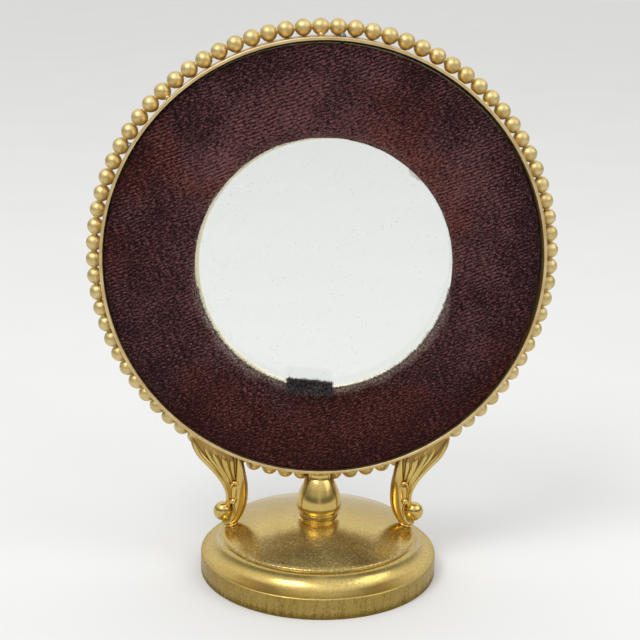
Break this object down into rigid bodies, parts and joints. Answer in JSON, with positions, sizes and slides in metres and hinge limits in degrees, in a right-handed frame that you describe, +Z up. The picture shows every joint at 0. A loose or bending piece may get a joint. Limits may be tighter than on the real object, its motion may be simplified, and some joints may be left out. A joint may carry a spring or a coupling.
{
  "type": "picture frame",
  "caption": "Round gilt picture frame with a beaded edge, enamelled front, velvet back and clear glass, held by an acorn stem and leaf scroll legs on a stepped domed base.",
  "frame": {"origin": "middle of the base's underside, on the surface it stands on", "axes": "+Z up, -Y out of the velvet back, +Y out of the enamelled front, +X to the right as seen from behind"},
  "size_m": [0.12, 0.0618, 0.143],
  "materials": {
    "aged_gilt": "gilding worn and speckled with age",
    "bright_gilt": "polished gilding",
    "satin_gilt": "satin gilding",
    "steel": "dull steel",
    "enamel": "translucent enamel over engine-turned metal",
    "glass": "clear, dusty",
    "cream_card": "aged cream card",
    "velvet": "burgundy pile, worn at the edges",
    "black_cloth": "worn black pile"
  },
  "bodies": {
    "stand": {"base_plinth": "aged_gilt", "stem_baluster": "bright_gilt", "stem_collar": "bright_gilt", "stem_stud": "steel", "stud_washer": "steel", "stud_nut": "steel", "left_leg": "bright_gilt", "right_leg": "bright_gilt", "left_leg_screw": "steel", "right_leg_screw": "steel", "case_ring": "bright_gilt", "bead_ring": "satin_gilt", "enamel_ring": "enamel", "inner_bezel": "bright_gilt", "glass_disc": "glass", "mat_ring": "cream_card", "case_pin_1": "steel", "case_pin_2": "steel", "case_pin_3": "steel", "case_pin_4": "steel"},
    "back": {"backing_board": "cream_card", "velvet_cover": "velvet", "velvet_tab": "black_cloth"}
  },
  "joints": [
    {"name": "back_pull", "type": "slide", "parent": "stand", "child": "back", "axis": [0, -1, 0], "range_m": [0, 0.012]}
  ]
}
